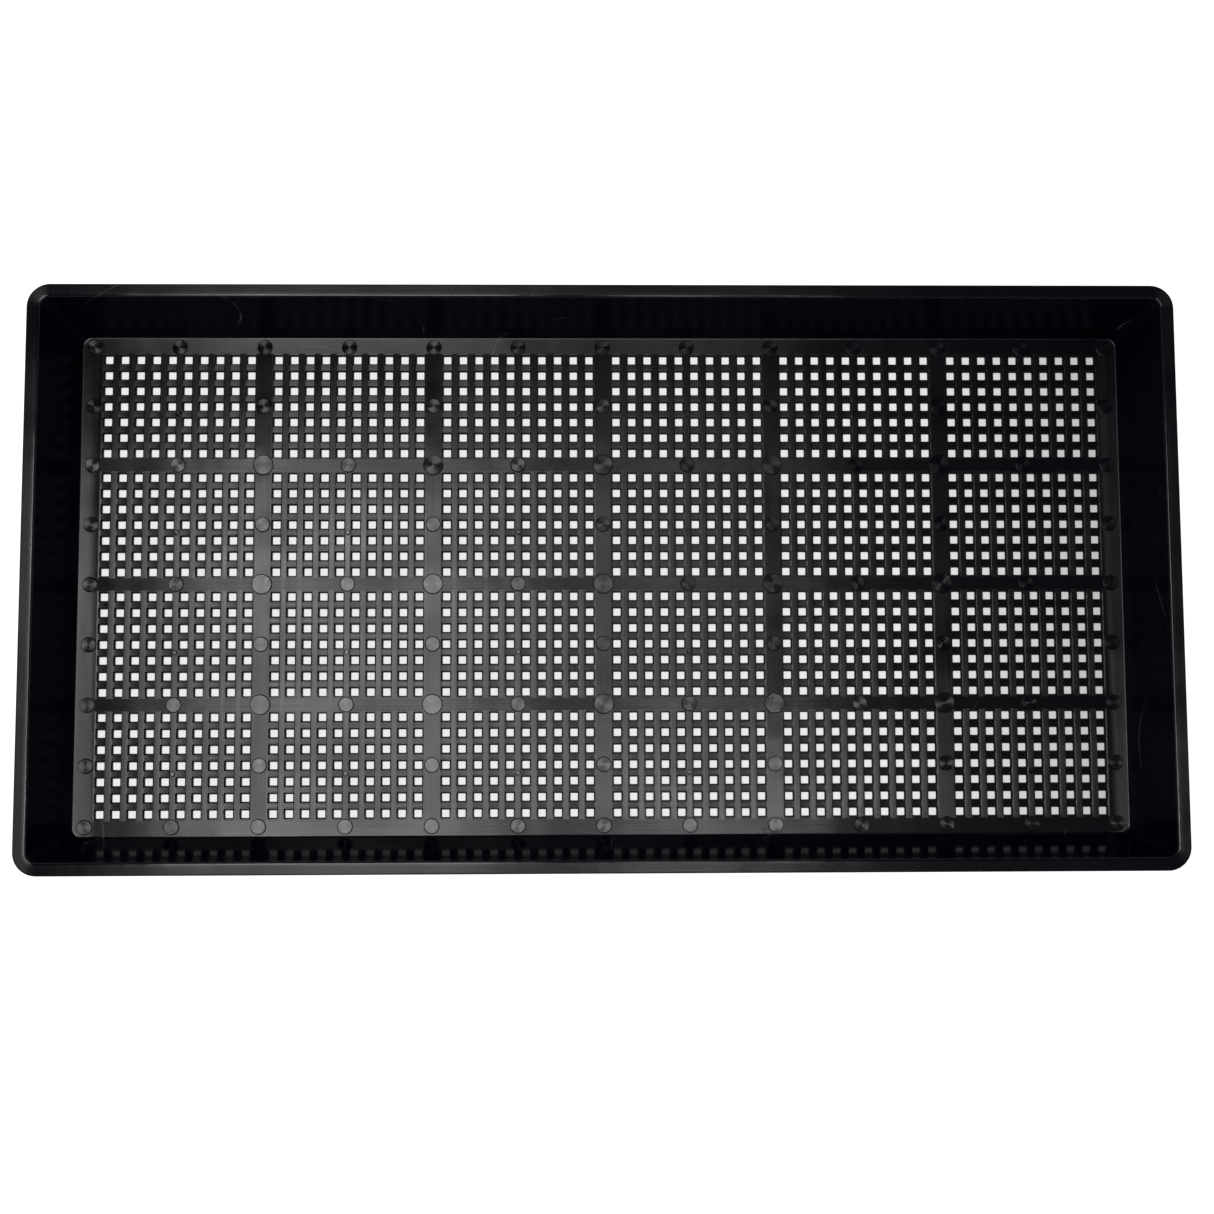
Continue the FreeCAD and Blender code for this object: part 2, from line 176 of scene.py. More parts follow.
def move(offset):
    bpy.ops.transform.translate(value=offset)


def draw_faces(rise):
    """Extrude the selected faces upwards by a distance."""
    bpy.ops.mesh.extrude_region_move(TRANSFORM_OT_translate={"value": (0, 0, rise)})


def draw_edges(rise):
    """Extrude the selected edges upwards by a distance."""
    bpy.ops.mesh.extrude_edges_move(TRANSFORM_OT_translate={"value": (0, 0, rise)})


def near(value, target):
    return abs(value - target) < SAME_PLACE


def close_open_edges():
    """Bridge the two open loops of the piece in edit mode."""
    bpy.ops.mesh.select_mode(type="EDGE")
    bpy.ops.mesh.select_all(action="DESELECT")
    bpy.ops.mesh.select_non_manifold(extend=False, use_wire=False, use_multi_face=False,
                                     use_non_contiguous=False, use_verts=False)
    bpy.ops.mesh.bridge_edge_loops()


def face_outwards():
    """Turn every face of the piece in edit mode outwards."""
    bpy.ops.mesh.select_all(action="SELECT")
    bpy.ops.mesh.normals_make_consistent(inside=False)


def smooth(piece, degrees):
    """Shade a piece smoothly, but for edges sharper than an angle."""
    select_only(piece)
    bpy.ops.object.shade_smooth_by_angle(angle=math.radians(degrees))


def hang(piece, slot_name, *nodes):
    """Hang a finished piece on the frame in place of CAD nodes."""
    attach(piece, "root")
    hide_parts(*nodes)


def finish_piece(piece, material, slot_name, *nodes):
    """Give a piece its only material, and hang it on the frame."""
    piece.data.materials.clear()
    piece.data.materials.append(material)
    hang(piece, slot_name, *nodes)


# ---------------------------------------------------------------- materials


def new_material(name):
    """An empty material, its tree and its main shader."""
    material = bpy.data.materials.new(name)
    material.use_nodes = True
    tree = material.node_tree
    tree.nodes.clear()
    output = tree.nodes.new("ShaderNodeOutputMaterial")
    shader = tree.nodes.new("ShaderNodeBsdfPrincipled")
    tree.links.new(shader.outputs["BSDF"], output.inputs["Surface"])
    return material, tree, shader


def add_node(tree, kind, settings=None, **inputs):
    """Add a node, set it up, and fill or link its inputs; i0 is the first one, and so on."""
    node = tree.nodes.new(kind)
    for key, value in (settings or {}).items():
        setattr(node, key, value)
    for key, value in inputs.items():
        by_number = key[0] == "i" and key[1:].isdigit()
        socket = node.inputs[int(key[1:])] if by_number else node.inputs[key]
        if isinstance(value, bpy.types.NodeSocket):
            tree.links.new(value, socket)
        else:
            socket.default_value = value
    return node


def number_from(tree, operation, *values):
    """The result of a Math node on one, two or three numbers."""
    inputs = {f"i{index}": value for index, value in enumerate(values)}
    return add_node(tree, "ShaderNodeMath", {"operation": operation}, **inputs).outputs[0]


def vector_from(tree, operation, *values):
    """The result of a Vector Math node on one or two directions or places."""
    inputs = {f"i{index}": value for index, value in enumerate(values)}
    return add_node(tree, "ShaderNodeVectorMath", {"operation": operation}, **inputs).outputs[0]


def length_of(tree, vector):
    measured = add_node(tree, "ShaderNodeVectorMath", {"operation": "LENGTH"}, i0=vector)
    return measured.outputs["Value"]


def sum_of(tree, first, second):
    return number_from(tree, "ADD", first, second)


def product_of(tree, first, second):
    return number_from(tree, "MULTIPLY", first, second)


def larger_of(tree, first, second):
    return number_from(tree, "MAXIMUM", first, second)


def rest_of_one(tree, value):
    return number_from(tree, "SUBTRACT", 1.0, value)


def parts_of(tree, vector):
    """The X, Y and Z of a place or direction."""
    return add_node(tree, "ShaderNodeSeparateXYZ", None, Vector=vector).outputs


def blend(tree, share, first, second):
    """A number between two others."""
    mixed = add_node(tree, "ShaderNodeMix", {"data_type": "FLOAT"}, i0=share, i2=first, i3=second)
    return mixed.outputs[0]


def blend_colours(tree, share, first, second):
    """A colour between two others."""
    mixed = add_node(tree, "ShaderNodeMix", {"data_type": "RGBA"}, i0=share, i6=first, i7=second)
    return mixed.outputs[2]


def ramp(tree, value, low, high, start, end):
    """Map a value from one range to another, held at both ends."""
    mapped = add_node(tree, "ShaderNodeMapRange", None, Value=value, i1=low, i2=high, i3=start,
                      i4=end)
    return mapped.outputs[0]


def own_place(tree):
    """The place on the piece, in the tray's own axes."""
    return add_node(tree, "ShaderNodeTexCoord").outputs["Object"]


def stretched_noise(tree, place, stretch, detail=2.0, roughness=0.5):
    """Noise on the piece's own place, with a frequency per metre for each axis."""
    scaled = vector_from(tree, "MULTIPLY", place, stretch)
    noise = add_node(tree, "ShaderNodeTexNoise", {"noise_dimensions": "3D"}, Vector=scaled,
                     Scale=1.0, Detail=detail, Roughness=roughness)
    return noise.outputs["Fac"]


def polish_lines(tree, place, run):
    """Fine lines of mould polish along one axis, between 0 and 1."""
    along, across, upright = 14.0, 2600.0, 300.0
    stretch = (along, across, upright) if run == "X" else (across, along, upright)
    return stretched_noise(tree, place, stretch, detail=3.0, roughness=0.65)


def hair_scratches(tree, place):
    """Thin curved handling scratches, 1 on a scratch and 0 elsewhere."""
    curls, clusters, half_line = 9.0, 31.0, 0.0016
    wander = stretched_noise(tree, place, (curls, curls, curls), detail=1.0)
    distance = number_from(tree, "ABSOLUTE", number_from(tree, "SUBTRACT", wander, 0.5))
    line = ramp(tree, distance, 0.0, half_line, 1.0, 0.0)
    patches = stretched_noise(tree, place, (clusters, clusters, clusters), detail=2.0)
    worn = ramp(tree, patches, 0.56, 0.66, 0.0, 1.0)
    return product_of(tree, line, worn)


def dust_specks(tree, place, amount):
    """Small pale dust specks, 1 on a speck and 0 elsewhere, in the given share of the cells."""
    cells_per_metre, core, rim = 140.0, 0.035, 0.07
    cells = add_node(tree, "ShaderNodeTexVoronoi", {"feature": "F1"}, Vector=place,
                     Scale=cells_per_metre)
    round_speck = ramp(tree, cells.outputs["Distance"], core, rim, 1.0, 0.0)
    chance = add_node(tree, "ShaderNodeSeparateColor", None, Color=cells.outputs["Color"])
    chosen = ramp(tree, chance.outputs[0], 1.0 - amount, 1.0 - amount + 0.002, 0.0, 1.0)
    return product_of(tree, round_speck, chosen)


PLASTIC_IOR = 1.49
DUST_GREY = (0.32, 0.33, 0.34, 1.0)
# How far the roughness swings with the polish lines and with the flow of the plastic.
POLISH_SWING = 0.04
FLOW_SWING = 0.05
# What a scratch adds to the roughness, and how far scratches and specks turn to dust's grey.
SCRATCH_ROUGHNESS = 0.15
SCRATCH_PALENESS = 0.45
SPECK_PALENESS = 0.8


def black_plastic(name, tint, roughness, anisotropy, lines, spread, bump=0.04, dust=0.015,
                  waves=0.55, sheen_level=0.5, polished=None):
    """Black polypropylene with polish lines along a run.

    lines gives the polish pattern from the tree and the place, spread gives the direction that
    the polish spreads a highlight in, waves is the height of the moulding's slow unevenness, and
    polished gives the share of the roughness that is left where wear has smoothed an edge.
    """
    material, tree, shader = new_material(name)
    place = own_place(tree)
    pattern = lines(tree, place)
    scratches = hair_scratches(tree, place)
    specks = dust_specks(tree, place, dust)
    flow = stretched_noise(tree, place, (22.0, 30.0, 22.0), detail=3.0)

    by_polish = ramp(tree, pattern, 0.3, 0.7, roughness - POLISH_SWING, roughness + POLISH_SWING)
    by_flow = ramp(tree, flow, 0.3, 0.7, -FLOW_SWING, FLOW_SWING)
    rough = sum_of(tree, by_polish, by_flow)
    rough = sum_of(tree, rough, product_of(tree, scratches, SCRATCH_ROUGHNESS))
    if polished is not None:
        rough = product_of(tree, rough, polished(tree, place))

    marks = larger_of(tree, product_of(tree, scratches, SCRATCH_PALENESS),
                      product_of(tree, specks, SPECK_PALENESS))
    dark = [share * 0.75 for share in tint] + [1.0]
    light = [share * 1.3 for share in tint] + [1.0]
    shade = blend_colours(tree, flow, dark, light)
    colour = blend_colours(tree, marks, shade, DUST_GREY)

    slow = stretched_noise(tree, place, (34.0, 34.0, 34.0), detail=2.0, roughness=0.4)
    swell = add_node(tree, "ShaderNodeBump", None, Strength=waves, Distance=0.6 * MM, Height=slow)
    height = add_node(tree, "ShaderNodeBump", None, Strength=bump, Distance=0.2 * MM,
                      Height=pattern, Normal=swell.outputs["Normal"])

    tree.links.new(colour, shader.inputs["Base Color"])
    tree.links.new(rough, shader.inputs["Roughness"])
    tree.links.new(height.outputs["Normal"], shader.inputs["Normal"])
    shader.inputs["IOR"].default_value = PLASTIC_IOR
    shader.inputs["Specular IOR Level"].default_value = sheen_level
    shader.inputs["Anisotropic"].default_value = anisotropy
    if spread is not None:
        tree.links.new(spread(tree, place), shader.inputs["Tangent"])
    return material


# Directions that a highlight spreads in, each square to the polish lines.


def fixed_direction(direction):
    """The same direction all over a piece."""
    def spread(tree, place):
        x, y, z = direction
        return add_node(tree, "ShaderNodeCombineXYZ", None, X=x, Y=y, Z=z).outputs[0]
    return spread


def out_of_core(tree, place):
    """The way out of the rectangle through the centres of the rim's corners, to the place."""
    corner = (HALF_LENGTH - RIM_CORNER_RADIUS, HALF_WIDTH - RIM_CORNER_RADIUS, 0.0)
    opposite = [-part for part in corner]
    core = vector_from(tree, "MINIMUM", vector_from(tree, "MAXIMUM", place, opposite), corner)
    away = vector_from(tree, "SUBTRACT", place, core)
    return vector_from(tree, "MULTIPLY", away, (1.0, 1.0, 0.0))


def rim_spread(tree, place):
    """Straight out from the tray: square to the rim's sides, and radial round its corners."""
    return vector_from(tree, "NORMALIZE", out_of_core(tree, place))


def border_spread(tree, place):
    """Along Y at the front and back, turning to along X at the two ends."""
    from_middle = number_from(tree, "ABSOLUTE", parts_of(tree, place)[0])
    on_end = ramp(tree, from_middle, MESH_HALF_LENGTH - 2 * MM, MESH_HALF_LENGTH + 5 * MM,
                  0.0, 1.0)
    turned = add_node(tree, "ShaderNodeCombineXYZ", None, X=on_end, Y=rest_of_one(tree, on_end))
    return vector_from(tree, "NORMALIZE", turned.outputs[0])


def pin_map(tree):
    """The place on an ejector mark, in millimetres from its middle."""
    return add_node(tree, "ShaderNodeUVMap", {"uv_map": "turning"}).outputs["UV"]


def away_from_pin(tree, place):
    """The direction out from the middle of each ejector mark."""
    axes = parts_of(tree, pin_map(tree))
    flat = add_node(tree, "ShaderNodeCombineXYZ", None, X=axes[0], Y=axes[1])
    return vector_from(tree, "NORMALIZE", flat.outputs[0])


# Polish patterns.


def turned_lines(tree, place):
    """Fine turned lines round the middle of each ejector mark."""
    radius = length_of(tree, pin_map(tree))
    noise = add_node(tree, "ShaderNodeTexNoise", {"noise_dimensions": "1D"}, W=radius, Scale=7.0,
                     Detail=3.0, Roughness=0.7)
    return noise.outputs["Fac"]


def run_lines(run):
    """Polish lines along one axis, as a pattern maker."""
    return lambda tree, place: polish_lines(tree, place, run)


def round_lines(tree, place):
    """Polish lines that follow the long sides and the short sides."""
    from_middle = number_from(tree, "ABSOLUTE", parts_of(tree, place)[0])
    on_end = ramp(tree, from_middle, MESH_HALF_LENGTH, MESH_HALF_LENGTH + 2 * MM, 0.0, 1.0)
    along_x = polish_lines(tree, place, "X")
    along_y = polish_lines(tree, place, "Y")
    return blend(tree, on_end, along_x, along_y)


# Places that wear has smoothed, as a share of the roughness that is left.


def within_panel(tree, value, panel_pitch):
    """Fold a place along one axis into its own panel, measured from the panel's middle."""
    wrapped = number_from(tree, "WRAP", value, panel_pitch, 0.0)
    return number_from(tree, "SUBTRACT", wrapped, panel_pitch / 2)


def to_grid_line(tree, value):
    """The distance to the nearest whole number of hole pitches."""
    return number_from(tree, "PINGPONG", value, HOLE_PITCH / 2)


def crown_polish(run, depth):
    """The middle of a mesh bar, where cutters and trays have rubbed it smoother, in patches."""
    rubbed, unrubbed = 0.3 * MM, 0.9 * MM
    along, across = 24.0, 130.0

    def polished(tree, place):
        axes = parts_of(tree, place)
        if run == "Y":
            from_middle = to_grid_line(tree, within_panel(tree, axes[0], PANEL_PITCH_ALONG))
            crown = ramp(tree, from_middle, rubbed, unrubbed, 1.0, 0.0)
        else:
            from_hole = to_grid_line(tree, within_panel(tree, axes[1], PANEL_PITCH_ACROSS))
            crown = ramp(tree, from_hole, HOLE_PITCH / 2 - unrubbed, HOLE_PITCH / 2 - rubbed,
                         0.0, 1.0)
        stretch = (across, along, 1.0) if run == "Y" else (along, across, 1.0)
        patches = ramp(tree, stretched_noise(tree, place, stretch), 0.48, 0.66, 0.0, depth)
        return rest_of_one(tree, product_of(tree, crown, patches))
    return polished


def lip_polish(tree, place):
    """The rim's inner edge is worn smoother than its flat."""
    reach = length_of(tree, out_of_core(tree, place))
    flat_end = RIM_CORNER_RADIUS - RIM_FLAT_WIDTH
    return ramp(tree, reach, flat_end, flat_end + 0.3 * MM, 0.55, 1.0)


def front_gloss(tree, place):
    """The front wall has kept the gloss that handling has dulled on the other walls."""
    across = parts_of(tree, place)[1]
    return ramp(tree, across, -MESH_HALF_WIDTH - 7 * MM, -MESH_HALF_WIDTH, 0.4, 1.0)


BLACK = (0.0045, 0.0045, 0.0078)
# the walls' black is a darker copy of the floor's black: painted shade on the walls
SHADED_WALL_BLACK = (0.0006, 0.0006, 0.006)
ALONG_X = fixed_direction((1.0, 0.0, 0.0))
ALONG_Y = fixed_direction((0.0, 1.0, 0.0))

long_bar_black = black_plastic("long_bar_black", BLACK, roughness=0.28, anisotropy=0.92,
                               lines=run_lines("X"), spread=ALONG_Y,
                               polished=crown_polish("Y", 0.15))
cross_bar_black = black_plastic("cross_bar_black", BLACK, roughness=0.21, anisotropy=0.76,
                                lines=run_lines("Y"), spread=ALONG_X, sheen_level=0.41)
border_black = black_plastic("border_black", BLACK, roughness=0.25, anisotropy=0.82,
                             lines=round_lines, spread=border_spread)
mesh_black = black_plastic("mesh_black", BLACK, roughness=0.25, anisotropy=0.72,
                           lines=run_lines("Y"), spread=ALONG_X, waves=0.3,
                           polished=crown_polish("Y", 0.22))
low_bar_black = black_plastic("low_bar_black", BLACK, roughness=0.31, anisotropy=0.86,
                              lines=run_lines("X"), spread=ALONG_Y, waves=0.3,
                              polished=crown_polish("X", 0.3))
rim_black = black_plastic("rim_black", BLACK, roughness=0.27, anisotropy=0.87,
                          lines=round_lines, spread=rim_spread, sheen_level=0.42,
                          polished=lip_polish)
wall_black = black_plastic("wall_black", SHADED_WALL_BLACK, roughness=0.28, anisotropy=0.0,
                           lines=round_lines, spread=None, bump=0.01, waves=0.1,
                           polished=front_gloss)
pad_black = black_plastic("pad_black", BLACK, roughness=0.17, anisotropy=0.95,
                          lines=turned_lines, spread=away_from_pin, bump=0.06, dust=0.0,
                          waves=0.0, sheen_level=0.62)

# ---------------------------------------------------------------- rim and walls

# Steps inwards and upwards in millimetres: the rounded foot of the walls outside, the rim's
# shoulder and flat, the rim's lip, and the fillet between the walls and the floor inside.
FOOT_STEPS = ((0.2, -0.45), (0.35, -0.25), (0.5, -0.1))
RIM_STEPS = ((0.08, 0.25), (0.14, 0.17), (0.2, 0.1), (0.3, 0.03), (2.38, -0.03), (0.3, 0.03),
             (1.7, 0.0))
LIP_STEPS = ((0.3, -0.03), (0.35, -0.1), (0.3, -0.22), (0.2, -0.3), (0.034, -0.3))
FILLET_STEPS = ((0.06, -0.22), (0.12, -0.16), (0.2, -0.08), (0.35, -0.04))
FOOT_WIDTH = 1.05 * MM
FOOT_DROP = 0.8 * MM
SHOULDER_DROP = 0.55 * MM
FILLET_DROP = 0.5 * MM


def step(inwards, rise):
    """Take the selected face inwards by a distance, then up or down."""
    bpy.ops.mesh.inset(thickness=inwards)
    move((0, 0, rise))


def take_steps(steps):
    """Take the selected face through a row of steps in millimetres."""
    for inwards, rise in steps:
        step(inwards * MM, rise * MM)


def run_to(half_width_now, half_width_next, rise):
    """Draw the selected face up or down to a size that differs by one distance on every side."""
    draw_faces(rise)
    length_share = (half_width_next + SIDE_SURPLUS) / (half_width_now + SIDE_SURPLUS)
    width_share = half_width_next / half_width_now
    bpy.ops.transform.resize(value=(length_share, width_share, 1), center_override=(0, 0, 0))


def make_shell():
    """The rim and the walls, as one skin drawn out of the rim's outline."""
    deselect_all()
    bpy.ops.mesh.primitive_plane_add(size=1, location=(0, 0, SKIRT_BOTTOM))
    shell = named("wall_ring")
    shell.scale = (2 * HALF_LENGTH, 2 * HALF_WIDTH, 1)
    bpy.ops.object.transform_apply(location=True, rotation=False, scale=True)
    edit(shell)
    bpy.ops.mesh.bevel(offset=RIM_CORNER_RADIUS, offset_type="OFFSET", segments=12,
                       affect="VERTICES")

    # the underside: skirt edge, inside of the skirt, underside of the flange, outside of the
    # wall, foot
    edit(shell, "FACE")
    half = HALF_WIDTH - SKIRT_THICKNESS
    step(SKIRT_THICKNESS, 0)
    run_to(half, half, FLANGE_UNDERSIDE - SKIRT_BOTTOM)
    step(half - WALL_HEAD_OUTSIDE, 0)
    run_to(WALL_HEAD_OUTSIDE, WALL_FOOT_OUTSIDE, FLOOR_TOP - FLANGE_UNDERSIDE)
    run_to(WALL_FOOT_OUTSIDE, WALL_FOOT_OUTSIDE, FOOT_DROP - FLOOR_TOP)
    take_steps(FOOT_STEPS)
    # the foot reaches a little under the border, so that no gap shows between them
    toe = WALL_FOOT_INSIDE + 1.0 * MM * WALL_SLOPE - 1.1 * MM
    step(WALL_FOOT_OUTSIDE - FOOT_WIDTH - toe, 0)

    # the top side: outside of the skirt, shoulder, flat flange, lip, inside of the wall, fillet
    # at the floor
    pick_edges(shell, lambda a, b: near(a.z, SKIRT_BOTTOM) and near(b.z, SKIRT_BOTTOM)
               and is_outline(a, b))
    draw_edges(RIM_TOP - SHOULDER_DROP - SKIRT_BOTTOM)
    bpy.ops.mesh.edge_face_add()
    bpy.ops.mesh.select_mode(type="FACE")
    take_steps(RIM_STEPS)
    take_steps(LIP_STEPS)
    lip_end = HALF_WIDTH - RIM_FLAT_WIDTH - LIP_WIDTH
    run_to(lip_end, WALL_HEAD_INSIDE, FLANGE_UNDERSIDE - RIM_TOP + LIP_DROP)
    run_to(WALL_HEAD_INSIDE, WALL_FOOT_INSIDE + FILLET_DROP * WALL_SLOPE,
           FLOOR_TOP + FILLET_DROP - FLANGE_UNDERSIDE)
    take_steps(FILLET_STEPS)

    # the floor's outline is the start of the border; the shell ends there in an upright edge
    bpy.ops.mesh.duplicate()
    bpy.ops.mesh.separate(type="SELECTED")
    leave_edit()
    border = [piece for piece in bpy.context.selected_objects if piece is not shell][0]
    border.name = "floor_border"
    border.data.name = "floor_border"
    edit(shell, "FACE")
    pick_faces(shell, lambda middle: abs(middle.x) < 1 * MM and abs(middle.y) < 1 * MM)
    bpy.ops.mesh.delete(type="ONLY_FACE")
    close_open_edges()
    face_outwards()
    return shell, border


def is_outline(first, second):
    """True for an edge on the rim's outer outline."""
    middle = (first + second) / 2
    outside_along = max(abs(middle.x) - (HALF_LENGTH - RIM_CORNER_RADIUS), 0)
    outside_across = max(abs(middle.y) - (HALF_WIDTH - RIM_CORNER_RADIUS), 0)
    return math.hypot(outside_along, outside_across) > RIM_CORNER_RADIUS - 0.5 * MM


def make_rim_and_walls():
    """Part the shell at the underside of the flange, and close both parts."""
    shell, border = make_shell()
    edit(shell, "FACE")
    pick_faces(shell, lambda middle: middle.z > SKIRT_BOTTOM - 1 * MM)
    bpy.ops.mesh.separate(type="SELECTED")
    leave_edit()
    rim = [piece for piece in bpy.context.selected_objects if piece is not shell][0]
    rim.name = "rim_ring"
    rim.data.name = "rim_ring"
    for piece in (rim, shell):
        edit(piece)
        close_open_edges()
        face_outwards()
        leave_edit()
        smooth(piece, 50)
    finish_piece(rim, rim_black, "rim_satin_black", *[f"rim_{side}" for side in SIDES],
                 *[f"rim_corner_{corner}" for corner in CORNERS])
    finish_piece(shell, wall_black, "wall_gloss_black", *[f"wall_{side}" for side in SIDES],
                 *[f"wall_corner_{corner}" for corner in CORNERS])
    return border


# ---------------------------------------------------------------- floor: border and wide bars

# A plate's sides lean out this far towards its underside, so that it runs a little into its
# neighbours.
FLARE = 0.12 * MM
BAR_SOFTENING = 0.4 * MM


def make_border(border):
    """The plain strip round the mesh, a plate with a window cut for the mesh and the bars."""
    edit(border, "FACE")
    draw_faces(-FLOOR_TOP)
    face_outwards()
    leave_edit()
    deselect_all()
    bpy.ops.mesh.primitive_cube_add(size=1, location=(0, 0, FLOOR_TOP / 2))
    window = named("window_cutter")
    window.scale = (2 * MESH_HALF_LENGTH, 2 * MESH_HALF_WIDTH, 4 * FLOOR_TOP)
    bpy.ops.object.transform_apply(location=True, rotation=False, scale=True)
    select_only(border)
    cut = border.modifiers.new("window", "BOOLEAN")
    cut.operation = "DIFFERENCE"
    cut.solver = "EXACT"
    cut.object = window
    bpy.ops.object.modifier_apply(modifier=cut.name)
    bpy.data.objects.remove(window)
    edit(border)
    pick_points(border, lambda place: near(place.z, 0)
                and near_or_within(place, MESH_HALF_LENGTH, MESH_HALF_WIDTH))
    share = (1 - FLARE / MESH_HALF_LENGTH, 1 - FLARE / MESH_HALF_WIDTH, 1)
    bpy.ops.transform.resize(value=share, center_override=(0, 0, 0))
    leave_edit()
    smooth(border, 30)
    finish_piece(border, border_black, "floor_satin_black",
                 *[f"border_{side}" for side in SIDES])


def near_or_within(place, half_length, half_width):
    """True for a place on or inside a rectangle about the middle."""
    within_length = abs(place.x) < half_length + SAME_PLACE
    within_width = abs(place.y) < half_width + SAME_PLACE
    return within_length and within_width


def make_bar(name, middle_along, middle_across, length, width):
    """A wide bar of the floor, level on top and softened along its underside."""
    deselect_all()
    bpy.ops.mesh.primitive_cube_add(size=1, location=(middle_along, middle_across, FLOOR_TOP / 2))
    bar = named(name)
    bar.scale = (length, width, FLOOR_TOP)
    bpy.ops.object.transform_apply(location=True, rotation=False, scale=True)
    edit(bar)
    pick_faces(bar, lambda middle: near(middle.z, 0))
    spread = ((length + 2 * FLARE) / length, (width + 2 * FLARE) / width, 1)
    bpy.ops.transform.resize(value=spread, center_override=(middle_along, middle_across, 0))
    bpy.ops.mesh.bevel(offset=BAR_SOFTENING, segments=2)
    leave_edit()
    smooth(bar, 30)
    return bar


def join(name, bars):
    """Join loose copies into one piece."""
    select_only(*bars)
    bpy.ops.object.join()
    return named(name)


def panel_middle(index, count, pitch):
    """The place of a panel's middle; an index halfway between two panels gives a bar's middle."""
    return (index - (count - 1) / 2) * pitch


def make_bars():
    """Five bars across the tray, and three along it in spans between them."""
    for number in range(1, PANEL_COLUMNS):
        middle = panel_middle(number - 0.5, PANEL_COLUMNS, PANEL_PITCH_ALONG)
        bar = make_bar(f"cross_bar_{number}", middle, 0, PANEL_PITCH_ALONG - PANEL_LENGTH,
                       2 * MESH_HALF_WIDTH)
        finish_piece(bar, cross_bar_black, "floor_satin_black", f"cross_rib_{number}")
    for number in range(1, PANEL_ROWS):
        middle = panel_middle(number - 0.5, PANEL_ROWS, PANEL_PITCH_ACROSS)
        spans = []
        for column in range(PANEL_COLUMNS):
            along = panel_middle(column, PANEL_COLUMNS, PANEL_PITCH_ALONG)
            spans.append(make_bar("span", along, middle, PANEL_LENGTH,
                                  PANEL_PITCH_ACROSS - PANEL_WIDTH))
        finish_piece(join(f"long_bar_{number}", spans), long_bar_black, "floor_satin_black",
                     f"long_rib_{number}")


# ---------------------------------------------------------------- floor: mesh panels

# Distances from a hole's middle to the lines on a bar's shoulder, and how far each line lies
# below the crown. The bars along X lie lower than the bars along Y.
SHOULDER = ((HOLE_TOP / 2, 0.3 * MM), (2.34 * MM, 0.03 * MM), (2.65 * MM, 0.008 * MM),
            (HOLE_PITCH / 2, 0.0))
LOW_BAR_DROP = 0.1 * MM
HOLE_CORNER_ROUNDING = 0.2 * MM


def make_mesh_cell(along, across):
    """One hole with half of each bar round it, with crowned shoulders and leaning walls."""
    deselect_all()
    bpy.ops.mesh.primitive_plane_add(size=HOLE_PITCH, location=(along, across, FLOOR_TOP))
    cell = named("mesh_cell")
    bpy.ops.object.transform_apply(location=True, rotation=False, scale=False)
    edit(cell)
    for distance, _ in SHOULDER[:-1]:
        for sign in (-1, 1):
            for axis, middle in (((1, 0, 0), along), ((0, 1, 0), across)):
                bpy.ops.mesh.select_all(action="SELECT")
                place = [part * (middle + sign * distance) for part in axis]
                bpy.ops.mesh.bisect(plane_co=place, plane_no=axis, threshold=CUT_THRESHOLD)
    for level_along, drop_along in SHOULDER:
        for level_across, drop_across in SHOULDER:
            drop = min(drop_along, drop_across + LOW_BAR_DROP)
            pick_points(cell, lambda place: near(abs(place.x - along), level_along)
                        and near(abs(place.y - across), level_across))
            move((0, 0, -drop))
    pick_faces(cell, lambda middle: abs(middle.x - along) < 1 * MM
               and abs(middle.y - across) < 1 * MM)
    hole_edge = FLOOR_TOP - SHOULDER[0][1]
    draw_faces(MESH_BOTTOM - hole_edge)
    share = HOLE_BOTTOM / HOLE_TOP
    bpy.ops.transform.resize(value=(share, share, 1), center_override=(along, across, 0))
    bpy.ops.mesh.delete(type="ONLY_FACE")
    pick_edges(cell, lambda a, b: near(min(a.z, b.z), MESH_BOTTOM)
               and near(max(a.z, b.z), hole_edge))
    bpy.ops.mesh.bevel(offset=HOLE_CORNER_ROUNDING, segments=2)
    cell.data.materials.append(mesh_black)
    cell.data.materials.append(low_bar_black)
    pick_faces(cell, lambda middle: abs(middle.x - along) < HOLE_TOP / 2 and middle.z > hole_edge)
    cell.active_material_index = 1
    bpy.ops.object.material_slot_assign()
    leave_edit()
    return cell


def repeat(piece, count, offset):
    """Repeat a piece in a row, and weld the copies."""
    select_only(piece)
    row = piece.modifiers.new("row", "ARRAY")
    row.count = count
    row.use_relative_offset = False
    row.use_constant_offset = True
    row.constant_offset_displace = offset
    row.use_merge_vertices = True
    row.merge_threshold = WELD_DISTANCE
    bpy.ops.object.modifier_apply(modifier=row.name)


def lift_row(panel, distance, drop):
    """Lift a line of the shoulder next to a long bar, which isn't as low as the bars along X."""
    target = FLOOR_TOP - drop
    outermost = (HOLES_ACROSS - 1) / 2 * HOLE_PITCH + distance
    pick_points(panel, lambda place: near(abs(place.y), outermost)
                and MESH_BOTTOM + 1 * MM < place.z < target - SAME_PLACE)
    bpy.ops.transform.resize(value=(1, 1, 0), center_override=(0, 0, target))


